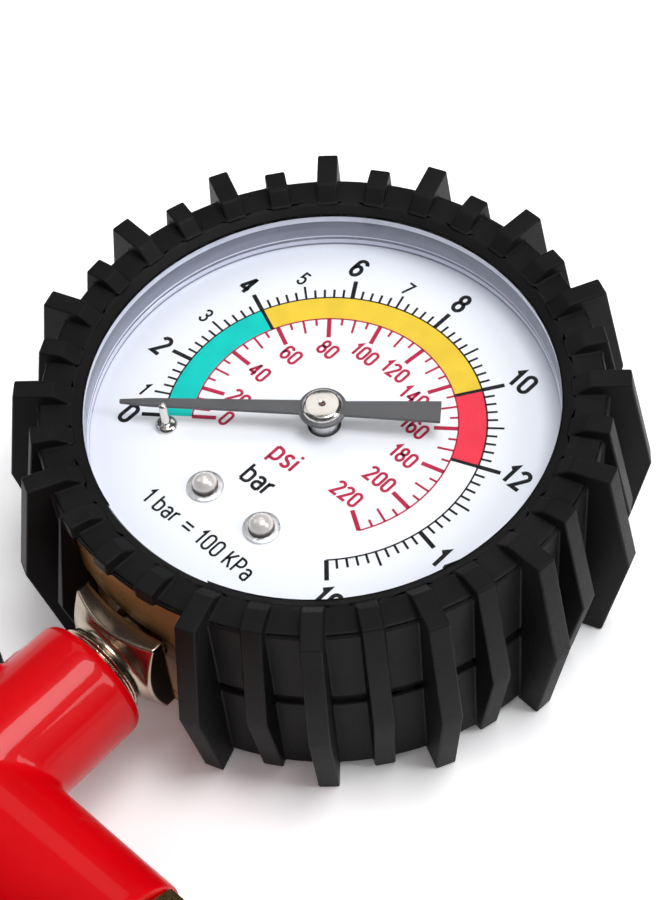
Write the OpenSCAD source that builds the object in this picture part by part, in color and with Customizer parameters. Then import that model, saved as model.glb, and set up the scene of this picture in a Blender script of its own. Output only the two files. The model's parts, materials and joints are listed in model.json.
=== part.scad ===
// Tyre inflator with a dial gauge: cast gun, squeeze lever, valve and a 63 mm gauge in a lugged boot.
// Lengths in mm. Z is up along the dial axis, the table is Z = 0, and the gun hangs along -Y.

/* [Gauge case and lens] */
// outside radius of the steel case
case_r = 35.4; // [34:0.1:36]
// wall thickness of the steel case
case_wall = 0.8; // [0.6:0.1:1.2]
// outside radius of the case's rolled rim
rim_r = 36.4; // [36:0.1:36.5]
// how far the rolled rim reaches behind the dial face
rim_back = 4.15; // [3:0.05:4.2]
// depth of the case behind the dial face
case_back = 24.5; // [20:0.5:24.5]
// height of the case rim in front of the dial face
case_front = 5.5; // [4.9:0.1:5.6]
// radius of the opening in the lens wall, the visible dial
window_r = 31.3; // [30:0.1:32]
// height of the lens's outer face over the dial
lens_top = 5.9; // [5.7:0.1:6.2]
// thickness of the lens's flat face
lens_t = 1.2; // [1:0.1:1.3]

/* [Rubber boot] */
// radius of the boot between two lugs
valley_r = 37.1; // [36.8:0.1:38]
// radius of the lip that holds the lens
lip_r = 31.2; // [30.5:0.1:31.3]
// distance from the dial centre where the lugs begin on the front
lug_start = 32.6; // [32:0.1:34]
// height of the boot's front face between two lugs over the dial
band_z = 7.0; // [6.6:0.1:7.6]
// height of the front faces of the lugs over the dial
lug_front = 8.8; // [8:0.1:10]
// largest radius of a tall lug
tall_r = 43.3; // [41:0.1:45]
// largest radius of a short lug
short_r = 41.1; // [39:0.1:43]
// width of one lug round the boot
lug_w = 2.8; // [2:0.1:3.6]
// number of tall lugs, and as many short ones between them
lug_count = 16; // [12:1:18]
// turn of the boot on the case, in degrees
boot_turn = -3.6; // [-6:0.1:6]
// half width of the opening that lets the fitting through
gate_half = 10.4; // [9:0.1:10.5]

/* [Dial and pointer] */
// turn of the dial against the fitting, in degrees
dial_turn = -1.1; // [-2:0.1:2]
// thickness of the dial plate
dial_t = 0.5; // [0.3:0.1:0.8]
// angle of the pointer at rest, from the 3 o'clock direction
rest_angle = 217.7; // [216:0.1:219]
// length of the pointer from its axis to its tip
pointer_tip = 27.0; // [25:0.1:29]
// length of the pointer's tail
pointer_tail = 15.5; // [12:0.1:17]
// height of the pointer's underside over the dial
pointer_z = 3.1; // [2.6:0.1:3.2]
// distance of the stop pin from the dial centre
stop_r = 21.0; // [18:0.1:22]
// distance of the two dial screws from the dial centre
screw_r = 18.2; // [18:0.1:20]
// angle of each dial screw from the fitting side
screw_a = 16.1; // [14:0.1:17]
// turn of the pair of dial screws against the fitting, in degrees
screw_turn = 0.6; // [-2:0.1:2]

/* [Movement and tube] */
// radius of the bent tube's centre line
tube_r = 26; // [24:0.5:27]
// width of the flattened tube along the dial axis
tube_w = 10; // [8:0.5:11]
// thickness of the flattened tube
tube_t = 3.4; // [2.6:0.1:4]
// module of the sector and pinion teeth
gear_m = 0.4; // [0.3:0.05:0.5]
// teeth of the pinion
pinion_n = 10; // [8:1:12]
// teeth of the sector, counted round a full circle
sector_n = 70; // [60:1:80]

/* [Fitting] */
// width across the wrench flats of the gauge socket
flats = 14; // [12:0.1:17]
// height of the fitting axis under the dial face
axis_drop = 8.4; // [7.5:0.1:9]
// start of the wrench flats from the dial centre, where a hollow follows the case
flats_y0 = 37.8; // [36.9:0.1:38]
// end of the wrench flats from the dial centre
flats_y1 = 41.0; // [40:0.1:42]
// outside radius of the quarter-inch pipe thread
thread_r = 6.58; // [6:0.01:7]

/* [Gun body] */
// distance of the boss's end from the dial centre
boss_y = 43.6; // [43:0.1:45]
// radius of the boss at its end
boss_r = 8.6; // [8.4:0.1:9.4]
// distance of the hose nose's axis from the dial centre
nose_y = 67.2; // [64:0.1:72]
// radius of the hose nose
nose_r = 9.2; // [8.8:0.1:10]
// distance of the valve's axis from the dial centre
valve_y = 90; // [86:0.5:96]
// radius of the grip at its middle
grip_r = 13.2; // [12:0.1:15]
// distance of the grip's foot from the dial centre
foot_y = 166; // [150:1:180]

/* [Lever] */
// position of the lever's pivot across the gun
pivot_x = -13.4; // [-15:0.1:-12]
// distance of the lever's pivot from the dial centre
pivot_y = 56.4; // [54:0.1:60]
// radius of the lever's round head
head_r = 6.9; // [5.5:0.1:7]
// distance of the lever's tip from the dial centre
lever_end = 152; // [130:1:160]
// radius of the pivot pin
pin_r = 2; // [1.5:0.1:2.5]

/* [Hidden] */
$fn = 64;
e = 0.05;
table = -26;
axis_z = -axis_drop;
pitch = 360 / lug_count;
tip_a = 90 + boot_turn;
y_top = tall_r * sin(tip_a) + lug_w / 2 * cos(tip_a);
bush_end = foot_y + 1;
y_mid = (y_top - bush_end) / 2;
case_in = case_r - case_wall;
rim_z = case_front + 0.6;
neck_r = 4.1;
pinion_r = gear_m * pinion_n / 2;
sector_r = gear_m * sector_n / 2;
mesh_d = pinion_r + sector_r;
mesh_a = 200;
sector_x = mesh_d * cos(mesh_a);
sector_y = mesh_d * sin(mesh_a);
stop_a = rest_angle + 3.4;
foot_r = -table - axis_drop;

// moves a shape drawn round the dial centre to its place over the table
module at_gauge() { translate([0, -y_mid, -table]) children(); }
// a rod along Y between two distances from the dial centre, on the gun's axis
module rod_y(r, y0, y1, x = 0) {
  translate([x, -y0, axis_z]) rotate([90, 0, 0]) cylinder(h = y1 - y0, r = r);
}
// a rod along X between two places, at a distance from the dial centre
module rod_x(r, x0, x1, y) {
  translate([x0, -y, axis_z]) rotate([0, 90, 0]) cylinder(h = x1 - x0, r = r);
}
// a profile of radius and distance turned about the gun's axis
module turned_y(points) {
  translate([0, 0, axis_z]) rotate([90, 0, 0]) rotate_extrude($fn = 64) polygon(points);
}
// a profile of radius and place turned about the X line of the valve
module turned_x(points) {
  translate([0, -valve_y, axis_z]) rotate([0, 90, 0]) rotate_extrude($fn = 48) polygon(points);
}
// a box given by its two corners
module box(a, b) { translate(a) cube(b - a); }

// one lug as a plate across the boot, from its front face to the back end
module lug(r_front, r_max, front, rear, back) {
  rotate([90, 0, 0]) translate([0, 0, -lug_w / 2]) linear_extrude(lug_w)
    polygon([[lug_start - 0.1, band_z - 0.1], [34.3, front - 0.3], [34.9, front],
      [r_front, front], [r_max, rear], [r_front + 0.1, back], [36.6, back],
      [36.6, band_z - 0.6], [lug_start + 0.2, band_z - 0.6]]);
}
module boot() {
  color([0.03, 0.03, 0.032]) at_gauge() difference() {
    union() {
      rotate_extrude($fn = 96) polygon([[lip_r, lens_top + e], [lip_r, lens_top + 0.2],
        [lug_start, band_z], [36.6, band_z], [36.95, band_z - 0.25], [valley_r, band_z - 0.7],
        [valley_r, -7.4], [valley_r - 0.7, -7.8], [valley_r - 0.7, -9], [valley_r, -9.4],
        [valley_r, table + 1.2], [valley_r - 1, table + 0.2], [31, table + 0.2],
        [31, -case_back - e], [33.4, -case_back - e], [case_r + e, -case_back + 2],
        [case_r + e, -rim_back - e], [rim_r - 0.28, -rim_back - e], [rim_r + e, -rim_back + 0.28],
        [rim_r + e, rim_z + e], [case_r, rim_z + e], [case_in, lens_top + e]]);
      for (i = [0 : lug_count - 1]) {
        rotate([0, 0, boot_turn + i * pitch])
          lug(40, tall_r, lug_front, -8.6, table);
        rotate([0, 0, boot_turn + (i + 0.5) * pitch])
          lug(37.8, short_r, lug_front - 0.2, -8.7, table + 0.6);
      }
    }
    // opening for the fitting, under the front band
    box([-gate_half, -50, table - 1], [gate_half, -30, 6.2]);
    intersection() {
      box([-gate_half, -50, 5], [gate_half, -30, 12]);
      difference() {
        cylinder(h = 12, r = 60);
        translate([0, 0, -1]) cylinder(h = 14, r = 37.6, $fn = 96);
      }
    }
  }
}
module gauge_case() {
  color([0.05, 0.045, 0.04]) at_gauge() difference() {
    rotate_extrude($fn = 96) polygon([[0, -case_back], [case_r - 2, -case_back],
      [case_r, -case_back + 2], [case_r, -rim_back], [rim_r - 0.3, -rim_back],
      [rim_r, -rim_back + 0.3], [rim_r, rim_z], [case_r, rim_z], [case_in, case_front],
      [case_in, -case_back + 2.4], [case_r - 2.4, -case_back + case_wall],
      [0, -case_back + case_wall]]);
    rod_y(neck_r + e, 30, 40);
  }
}
module lens() {
  color([0.85, 0.9, 0.95, 0.3]) at_gauge() rotate_extrude($fn = 96) polygon([
    [0, lens_top - lens_t], [window_r, lens_top - lens_t], [window_r, 1.5],
    [window_r - 0.25, 1.2], [window_r - 0.25, e], [window_r + 1.5, e],
    [window_r + 1.5, lens_top - lens_t], [case_in - e, lens_top - lens_t],
    [case_in - e, lens_top], [0, lens_top]]);
}
module at_dial_screw(s) {
  rotate([0, 0, -90 + screw_turn + s * screw_a]) translate([screw_r, 0, 0]) children();
}
module dial() {
  color([0.96, 0.97, 0.98]) at_gauge() difference() {
    translate([0, 0, -dial_t]) cylinder(h = dial_t, r = 32.8, $fn = 96);
    translate([0, 0, -1]) cylinder(h = 2, r = 2.25);
    rotate([0, 0, stop_a]) translate([stop_r, 0, -1]) cylinder(h = 2, r = 0.55, $fn = 24);
    for (s = [-1, 1]) at_dial_screw(s) translate([0, 0, -1]) cylinder(h = 2, r = 1.05, $fn = 24);
  }
}
module dial_screw(s) {
  color([0.8, 0.8, 0.78]) at_gauge() at_dial_screw(s) rotate_extrude($fn = 48) difference() {
    union() {
      polygon([[0, -5], [1, -5], [1, 0.34], [1.75, 0.34], [1.75, 0.5], [0, 0.5]]);
      intersection() {
        translate([0, 0.45]) circle(r = 1.75);
        polygon([[0, 0.45], [3, 0.45], [3, 3], [0, 3]]);
      }
    }
    polygon([[-4, -6], [0, -6], [0, 4], [-4, 4]]);
  }
}
module dial_screw_1() { dial_screw(-1); }
module dial_screw_2() { dial_screw(1); }
module dial_washer(s) {
  color([0.9, 0.9, 0.9]) at_gauge() at_dial_screw(s) translate([0, 0, 0.02]) difference() {
    cylinder(h = 0.3, r = 2.45);
    translate([0, 0, -1]) cylinder(h = 2, r = 1.08, $fn = 24);
  }
}
module dial_washer_1() { dial_washer(-1); }
module dial_washer_2() { dial_washer(1); }
module stop_pin() {
  color([0.8, 0.8, 0.8]) at_gauge() rotate([0, 0, stop_a]) translate([stop_r, 0, 0])
    rotate_extrude($fn = 32) polygon([[0, -1.2], [0.5, -1.2], [0.5, 0.02], [1.5, 0.02],
      [1.5, 0.3], [1.2, 0.6], [0.55, 0.7], [0.55, 4.4], [0.35, 4.6], [0, 4.6]]);
}
module pointer() {
  color([0.2, 0.2, 0.21]) at_gauge() rotate([0, 0, rest_angle]) translate([0, 0, pointer_z])
    difference() {
      union() {
        linear_extrude(0.5) polygon([[pointer_tip, -0.25], [pointer_tip, 0.25],
          [pointer_tip - 4, 0.6], [2, 1.1], [-2, 1.1], [-pointer_tail, 1.65],
          [-pointer_tail, -1.65], [-2, -1.1], [2, -1.1], [pointer_tip - 4, -0.6]]);
        cylinder(h = 0.5, r = 3.2);
      }
      translate([0, 0, -1]) cylinder(h = 3, r = 0.83);
    }
}
module hub_cap() {
  color([0.86, 0.86, 0.84]) at_gauge() difference() {
    rotate_extrude($fn = 48) polygon([[0, 4.35], [0.5, 4.42], [1.4, 4.4], [2.3, 4.25],
      [2.75, 4], [2.75, pointer_z + 0.52], [0, pointer_z + 0.52]]);
    translate([0, 0, 3]) cylinder(h = 0.9, r = 0.83);
  }
}
module pinion_arbor() {
  color([0.75, 0.6, 0.3]) at_gauge() {
    translate([0, 0, -15.3]) cylinder(h = 19.1, r = 0.8);
    translate([0, 0, -2.8]) cylinder(h = 5.85, r = 1.9);
    // collet for the hairspring's inner end
    translate([0, 0, -13.2]) cylinder(h = 1.4, r = 2.1);
    rotate([0, 0, mesh_a]) translate([0, 0, -10.6]) linear_extrude(4) polygon([
      for (i = [0 : pinion_n - 1]) each [
        let (a = i * 360 / pinion_n - 15.3) (pinion_r - 0.5) * [cos(a), sin(a)],
        let (a = i * 360 / pinion_n - 2.7) (pinion_r + 0.36) * [cos(a), sin(a)],
        let (a = i * 360 / pinion_n + 2.7) (pinion_r + 0.36) * [cos(a), sin(a)],
        let (a = i * 360 / pinion_n + 15.3) (pinion_r - 0.5) * [cos(a), sin(a)]]]);
  }
}
module plate_shape() {
  difference() {
    union() {
      translate([-18, -8]) square([27, 17]);
      translate([-8, -14]) square([10, 20]);
    }
    circle(r = 0.84);
    translate([sector_x, sector_y]) circle(r = 0.84);
    for (p = [[6, 6.4], [-14, 5]]) translate(p) circle(r = 1.02);
  }
}
module front_plate() {
  color([0.8, 0.65, 0.32]) at_gauge() translate([0, 0, -4.2]) linear_extrude(1) difference() {
    plate_shape();
    translate([-9, -15]) square([12, 5]);
  }
}
module back_plate() {
  color([0.8, 0.65, 0.32]) at_gauge() translate([0, 0, -15.6]) linear_extrude(1) union() {
    plate_shape();
    translate([-6, -24]) square([12, 11]);
  }
  // stud for the hairspring's outer end
  color([0.8, 0.65, 0.32]) at_gauge() translate([4.9, -0.5, -14.7]) cube([1.2, 1.7, 2.8]);
}
module pillar(x, y) {
  color([0.8, 0.65, 0.32]) at_gauge() translate([x, y, 0]) {
    translate([0, 0, -14.55]) cylinder(h = 10.3, r = 1.8, $fn = 32);
    translate([0, 0, -15.8]) cylinder(h = 12.8, r = 1, $fn = 32);
  }
}
module pillar_1() { pillar(6, 6.4); }
module pillar_2() { pillar(-14, 5); }
module sector() {
  a0 = mesh_a - 180;
  color([0.82, 0.68, 0.35]) at_gauge() translate([sector_x, sector_y, -9.2]) difference() {
    union() {
      linear_extrude(1.2) polygon(concat([[0, -2.4]],
        [for (i = [-9 : 0]) each [
          let (a = a0 + (i - 0.5) * 360 / sector_n - 1.7) (sector_r - 0.5) * [cos(a), sin(a)],
          let (a = a0 + (i - 0.5) * 360 / sector_n - 0.44) (sector_r + 0.36) * [cos(a), sin(a)],
          let (a = a0 + (i - 0.5) * 360 / sector_n + 0.44) (sector_r + 0.36) * [cos(a), sin(a)],
          let (a = a0 + (i - 0.5) * 360 / sector_n + 1.7) (sector_r - 0.5) * [cos(a), sin(a)]],
        let (a = a0 + 0.5 * 360 / sector_n - 1.7) (sector_r - 0.5) * [cos(a), sin(a)],
        let (a = a0 + 0.5 * 360 / sector_n - 0.44) (sector_r + 0.36) * [cos(a), sin(a)],
        let (a = a0 + 0.5 * 360 / sector_n + 0.44) (sector_r + 0.36) * [cos(a), sin(a)],
        let (a = a0 + 0.5 * 360 / sector_n + 1.7) (sector_r - 0.5) * [cos(a), sin(a)],
        let (a = a0 + 9) (sector_r - 3) * [cos(a), sin(a)]], [[-0.5, 2.4]]));
      cylinder(h = 1.2, r = 2.4);
      rotate([0, 0, 125]) translate([0, -1.1, 0]) cube([6, 2.2, 1.2]);
    }
    translate([0, 0, -1]) cylinder(h = 4, r = 0.8);
    rotate([0, 0, a0 - 17]) translate([7, 0, -1]) cylinder(h = 4, r = 2);
  }
}
module sector_arbor() {
  color([0.75, 0.6, 0.3]) at_gauge() translate([sector_x, sector_y, -15.3])
    cylinder(h = 12, r = 0.8);
}
module hairspring() {
  color([0.7, 0.55, 0.3]) at_gauge() translate([0, 0, -13]) for (k = [0 : 3]) {
    rotate_extrude(angle = 180, $fn = 64) translate([2.2 + k * 0.8, 0]) square([0.2, 0.8]);
    rotate([0, 0, 180]) translate([-0.4, 0, 0]) rotate_extrude(angle = 180, $fn = 64)
      translate([2.6 + k * 0.8, 0]) square([0.2, 0.8]);
  }
}
module tube_section(w, t) {
  square([t, w - t], center = true);
  for (s = [-1, 1]) translate([0, s * (w - t) / 2]) circle(r = t / 2, $fn = 32);
}
module bourdon_tube() {
  color([0.78, 0.6, 0.3]) at_gauge() translate([0, 0, axis_z]) rotate([0, 0, -74])
    rotate_extrude(angle = 270, $fn = 96) translate([tube_r, 0]) difference() {
      tube_section(tube_w, tube_t);
      tube_section(tube_w - 0.8, tube_t - 0.8);
    }
}
module tube_tip() {
  color([0.75, 0.58, 0.28]) at_gauge() translate([0, 0, axis_z]) rotate([0, 0, 195.4])
    union() {
      box([tube_r - 1.2, -1.5, -3.3], [tube_r + 1.2, 2.6, 3.3]);
      box([tube_r - 2, 0.4, -5.2], [tube_r + 2, 2.6, 5.2]);
    }
}
module gauge_socket() {
  color([0.78, 0.74, 0.68]) at_gauge() difference() {
    union() {
      box([-8.5, -33, -14.5], [8.5, -14.5, -1.6]);
      for (s = [-1, 1]) at_dial_screw(s) translate([0, 0, -1.7]) cylinder(h = 1.15, r = 2.2);
      rod_y(neck_r, 32, flats_y0 + 1);
      difference() {
        intersection() {
          box([-flats / 2, -flats_y1, axis_z - flats / 2],
            [flats / 2, 1.5 - flats_y0, axis_z + flats / 2]);
          turned_y([[0, flats_y0 - 2], [flats, flats_y0 - 2], [flats, flats_y1 - 4.4],
            [6.4, flats_y1], [0, flats_y1]]);
        }
        translate([0, 0, axis_z - flats]) cylinder(h = 2 * flats, r = flats_y0, $fn = 180);
      }
      // thread relief and the first crests in front of the boss
      turned_y([[0, flats_y1 - 1], [6.4, flats_y1 - 1], [6.4, flats_y1 - 0.05],
        [5.9, flats_y1 + 0.5], [5.9, boss_y - 1.3], [thread_r, boss_y - 0.95],
        [thread_r, boss_y - 0.8], [6, boss_y - 0.45], [thread_r, boss_y - 0.1],
        [thread_r, boss_y + 8], [0, boss_y + 8]]);
    }
    for (s = [-1, 1]) at_dial_screw(s) translate([0, 0, -6]) cylinder(h = 7, r = 1.03, $fn = 24);
    rod_y(2, 22, boss_y + 9);
    translate([0, -25, axis_z]) rotate([0, 90, 0]) cylinder(h = 9, r = 1.4, $fn = 24);
  }
}
module gun_body() {
  color([0.75, 0.02, 0.03]) at_gauge() difference() {
    union() {
      // boss for the gauge, with a rounded end
      turned_y([[0, boss_y], [boss_r - 1.2, boss_y], [boss_r - 0.35, boss_y + 0.35],
        [boss_r, boss_y + 1.2], [boss_r + 0.3, nose_y], [0, nose_y]]);
      // hose nose
      rod_x(nose_r, -6, 30, nose_y);
      // grip with a flared foot
      turned_y([[0, nose_y - 5], [nose_r, nose_y], [nose_r + 2.6, nose_y + 8],
        [grip_r + 0.9, nose_y + 13], [grip_r + 1.4, nose_y + 22], [grip_r + 0.6, 105],
        [grip_r, 120], [grip_r + 0.3, 138], [grip_r + 1.2, 150], [foot_r - 1.5, foot_y - 6],
        [foot_r, foot_y - 4], [foot_r, foot_y - 1.5], [foot_r - 1.5, foot_y], [0, foot_y]]);
      // two ears for the lever's pivot
      for (s = [-1, 1]) translate([0, 0, axis_z + s * 5 - 1.5]) linear_extrude(3) union() {
        translate([pivot_x, -pivot_y]) circle(r = 5.2);
        polygon([[-4, -50.5], [-6.6, -52.6], [pivot_x + 2, 4.8 - pivot_y],
          [pivot_x - 5.1, 0 - pivot_y - 1], [pivot_x, -pivot_y - 8], [-6, -nose_y - 4],
          [-2, -nose_y]]);
      }
      // web between the ears, clear of the lever's head
      translate([0, 0, axis_z - 4]) linear_extrude(8) difference() {
        polygon([[-2, -48], [-8, -48.5], [-10, -72], [-2, -72]]);
        translate([pivot_x, -pivot_y]) circle(r = head_r + 0.5);
      }
      rod_x(7.5, -14.6, 0, valve_y);
      rod_x(9.5, 0, 16, valve_y);
    }
    rod_y(thread_r + e, boss_y - 1, boss_y + 8.5);
    rod_y(3, boss_y + 7, valve_y, -2);
    // slot between the ears for the lever's head
    translate([pivot_x, -pivot_y, axis_z - 3.5]) cylinder(h = 7, r = head_r + 0.4);
    rod_x(5.7 + e, 14, 31, nose_y);
    rod_x(3.5, -2, 20, nose_y);
    translate([pivot_x, -pivot_y, axis_z - 10]) cylinder(h = 20, r = pin_r + 0.04);
    // valve bore from the guide's seat to the cap
    rod_x(6.6, -16, -12.9, valve_y);
    rod_x(4.8 + e, -16, -4, valve_y);
    rod_x(4.2, -5, 0.5, valve_y);
    rod_x(3, 0, 3, valve_y);
    rod_x(6.5 + e, 2.5, 17, valve_y);
    rod_y(3.5, valve_y + 2, foot_y - 14, 7);
    rod_y(8.2 + e, foot_y - 16, foot_y + 1);
  }
}
module lever() {
  color([0.04, 0.04, 0.045]) at_gauge() difference() {
    union() {
      translate([pivot_x, -pivot_y, axis_z - 3.2]) cylinder(h = 6.4, r = head_r);
      translate([0, 0, axis_z - 3.2]) linear_extrude(6.4) polygon([
        [pivot_x - head_r + 0.1, -pivot_y + 1], [pivot_x - head_r + 0.1, -pivot_y - 1],
        [-23, -70], [-23.4, -100], [-27.2, -lever_end + 8], [-29.6, -lever_end],
        [-25.5, -lever_end + 0.5], [-22.8, -lever_end + 9], [-18.9, -100], [-18.6, -72],
        [pivot_x + 1, -pivot_y - head_r + 0.2]]);
      translate([0, 0, axis_z - 8]) linear_extrude(16) polygon([
        [-22.4, -72], [-24.4, -74], [-25, -100], [-29, -lever_end + 8],
        [-32, -lever_end - 1], [-30, -lever_end - 2], [-27, -lever_end + 7],
        [-23, -100], [-22.2, -74]]);
    }
    translate([pivot_x, -pivot_y, axis_z - 10]) cylinder(h = 20, r = pin_r + 0.05);
  }
}
module pivot_pin() {
  color([0.75, 0.75, 0.76]) at_gauge() translate([pivot_x, -pivot_y, axis_z]) difference() {
    union() {
      translate([0, 0, -8.4]) cylinder(h = 15, r = pin_r, $fn = 32);
      translate([0, 0, 6.52]) cylinder(h = 1, r = 3.2, $fn = 32);
    }
    translate([0, 0, -7.6]) difference() {
      cylinder(h = 0.7, r = 3, $fn = 32);
      translate([0, 0, -1]) cylinder(h = 3, r = 1.5, $fn = 32);
    }
  }
}
module pivot_clip() {
  color([0.2, 0.2, 0.2]) at_gauge() translate([pivot_x, -pivot_y, axis_z - 7.5])
    linear_extrude(0.5) difference() {
      circle(r = 3.4, $fn = 32);
      circle(r = 1.52, $fn = 32);
      polygon([[0, -1.2], [-5, -3], [-5, 3], [0, 1.2]]);
    }
}
module valve_stem() {
  color([0.8, 0.8, 0.8]) at_gauge() turned_x([[0, -18.5], [1, -18.4], [1.7, -17.8], [2, -17],
    [2, 3.2], [4.4, 3.2], [4.4, 4.4], [2, 4.4], [2, 6], [0, 6]]);
}
module stem_guide() {
  color([0.8, 0.66, 0.34]) at_gauge() difference() {
    union() {
      rod_x(4.8, -13, -6, valve_y);
      translate([-14.4, -valve_y, axis_z]) rotate([0, 90, 0]) cylinder(h = 1.45, r = 6.2, $fn = 6);
    }
    rod_x(2.04, -17, 0, valve_y);
    rod_x(3.4, -10, -8, valve_y);
  }
}
module stem_ring() {
  color([0.05, 0.05, 0.05]) at_gauge() translate([-9, -valve_y, axis_z]) rotate([0, 90, 0])
    rotate_extrude($fn = 32) translate([2.72, 0]) circle(r = 0.66, $fn = 24);
}
module valve_disc() {
  color([0.06, 0.06, 0.06]) at_gauge() turned_x([[2.05, 2.55], [4.4, 2.55], [4.4, 3.15],
    [2.05, 3.15]]);
}
// a wire wound round the Z axis as one unbroken helix
module coil(r, wire, turns, rise, steps, sides) {
  n = turns * steps;
  ring = [for (j = [0 : sides - 1]) 360 * j / sides];
  points = [for (i = [0 : n]) for (b = ring) let (a = 360 * i / steps)
    [(r + wire * cos(b)) * cos(a), (r + wire * cos(b)) * sin(a), rise * i / n + wire * sin(b)]];
  skin = [for (i = [0 : n - 1]) for (j = [0 : sides - 1]) let (k = (j + 1) % sides) each [
    [i * sides + j, i * sides + k, (i + 1) * sides + k],
    [i * sides + j, (i + 1) * sides + k, (i + 1) * sides + j]]];
  polyhedron(points, concat([[for (j = [sides - 1 : -1 : 0]) j]],
    [[for (j = [0 : sides - 1]) n * sides + j]], skin));
}
module valve_spring() {
  color([0.75, 0.75, 0.75]) at_gauge() translate([4.87, -valve_y, axis_z]) rotate([0, 90, 0])
    coil(3.4, 0.4, 6, 7.66, 20, 10);
}
module valve_cap() {
  color([0.8, 0.66, 0.34]) at_gauge() difference() {
    union() {
      rod_x(6.5, 9, 16.1, valve_y);
      translate([17, -valve_y, axis_z]) rotate([0, 90, 0]) cylinder(h = 4, r = 8.6, $fn = 6);
      rod_x(7, 16, 17.1, valve_y);
    }
    rod_x(4.4, 8, 13, valve_y);
  }
}
module cap_ring() {
  color([0.05, 0.05, 0.05]) at_gauge() difference() {
    rod_x(8.6, 16.05, 16.95, valve_y);
    rod_x(7.05, 15, 18, valve_y);
  }
}
module inlet_bush() {
  color([0.8, 0.66, 0.34]) at_gauge() difference() {
    union() {
      rod_y(8.2, foot_y - 14, foot_y + 0.2);
      rod_y(10, foot_y + 0.05, bush_end);
    }
    rod_y(5.72, foot_y - 13, bush_end + 1);
    rod_y(4, foot_y - 15, foot_y);
  }
}
module hose_adapter() {
  color([0.8, 0.66, 0.34]) at_gauge() difference() {
    union() {
      rod_x(5.7, 18, 30.1, nose_y);
      translate([30.1, -nose_y, axis_z]) rotate([0, 90, 0]) cylinder(h = 5, r = 9.24, $fn = 6);
      rod_x(thread_r, 35, 43, nose_y);
    }
    rod_x(2.5, 17, 44, nose_y);
  }
}

boot();
gauge_case();
lens();
dial();
dial_screw_1();
dial_screw_2();
dial_washer_1();
dial_washer_2();
stop_pin();
pointer();
hub_cap();
pinion_arbor();
front_plate();
back_plate();
pillar_1();
pillar_2();
sector();
sector_arbor();
hairspring();
bourdon_tube();
tube_tip();
gauge_socket();
gun_body();
lever();
pivot_pin();
pivot_clip();
valve_stem();
stem_guide();
stem_ring();
valve_disc();
valve_spring();
valve_cap();
cap_ring();
inlet_bush();
hose_adapter();
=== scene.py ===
import bpy, bmesh, json
from math import sin, cos, tan, pi, radians, hypot
from mathutils import Vector, Matrix


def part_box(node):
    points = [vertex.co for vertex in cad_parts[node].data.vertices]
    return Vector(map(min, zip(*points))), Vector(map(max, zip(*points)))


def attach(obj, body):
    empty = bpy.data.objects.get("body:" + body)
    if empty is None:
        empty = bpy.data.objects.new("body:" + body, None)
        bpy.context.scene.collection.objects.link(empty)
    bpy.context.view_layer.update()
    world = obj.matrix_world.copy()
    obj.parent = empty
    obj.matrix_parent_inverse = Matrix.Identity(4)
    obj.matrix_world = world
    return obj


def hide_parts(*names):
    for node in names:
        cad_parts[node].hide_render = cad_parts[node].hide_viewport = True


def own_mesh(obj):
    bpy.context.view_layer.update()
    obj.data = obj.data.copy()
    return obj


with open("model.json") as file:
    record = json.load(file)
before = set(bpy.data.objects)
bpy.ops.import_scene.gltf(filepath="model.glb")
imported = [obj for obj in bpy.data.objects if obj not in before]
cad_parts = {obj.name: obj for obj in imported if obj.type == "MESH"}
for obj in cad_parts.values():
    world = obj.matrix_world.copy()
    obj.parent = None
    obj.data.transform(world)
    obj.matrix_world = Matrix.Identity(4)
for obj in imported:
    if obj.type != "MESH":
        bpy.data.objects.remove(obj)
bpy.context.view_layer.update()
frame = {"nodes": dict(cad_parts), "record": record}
nodes = frame["nodes"]
mm = 0.001
onAxis = 1e-6  # a radius in mm below which a turned point is a pole
# what counts as one spot or one flat: three distances in mm, and the cosine between two facings
sameSpot = {"join": 0.003, "shrunk": 0.001, "level": 0.002, "facing": 0.99999}
shortestStep = 0.01  # mm between two points of a printed line
mitreLimit = 0.35
mixFirst, mixSecond, mixColour = 6, 7, 2  # a colour mix's two inputs and its output
bodies = frame["record"]["behaviour"]["bodies"]
bodyOf = {part: body for body, parts in bodies.items() for part in parts}
dialLow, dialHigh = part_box("dial")
dialCentre = Vector(((dialLow.x + dialHigh.x) / 2, (dialLow.y + dialHigh.y) / 2, dialHigh.z))
print("frame loaded:", len(nodes), "parts, dial centre at", tuple(round(v / mm, 2) for v in dialCentre))


def meshPiece(name, points, faces, material=None, body="tool", smooth=None):
    mesh = bpy.data.meshes.new(name)
    mesh.from_pydata([tuple(p) for p in points], [], faces)
    mesh.validate()
    mesh.update()
    piece = bpy.data.objects.new(name, mesh)
    bpy.context.scene.collection.objects.link(piece)
    if smooth is not None:
        mesh.shade_smooth()
        mesh.set_sharp_from_angle(angle=radians(smooth))
    if material:
        mesh.materials.append(material)
    if body:
        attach(piece, body)
    return piece


def rounded(profile, steps=4):
    # corners given as (r, z, fillet) turn into short arcs; a fillet of 0 stays sharp
    out = []
    count = len(profile)
    for i, corner in enumerate(profile):
        p = Vector(corner[:2])
        fillet = corner[2] if len(corner) > 2 else 0
        if not fillet:
            out.append(p)
            continue
        a = (Vector(profile[i - 1][:2]) - p).normalized()
        b = (Vector(profile[(i + 1) % count][:2]) - p).normalized()
        half = a.angle(b) / 2
        reach = fillet / tan(half)
        middle = p + (a + b).normalized() * (fillet / sin(half))
        start, end = p + a * reach - middle, p + b * reach - middle
        sweep = start.angle_signed(end)
        for k in range(steps + 1):
            turn = Matrix.Rotation(-sweep * k / steps, 2)
            out.append(middle + turn @ start)
    return out


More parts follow.
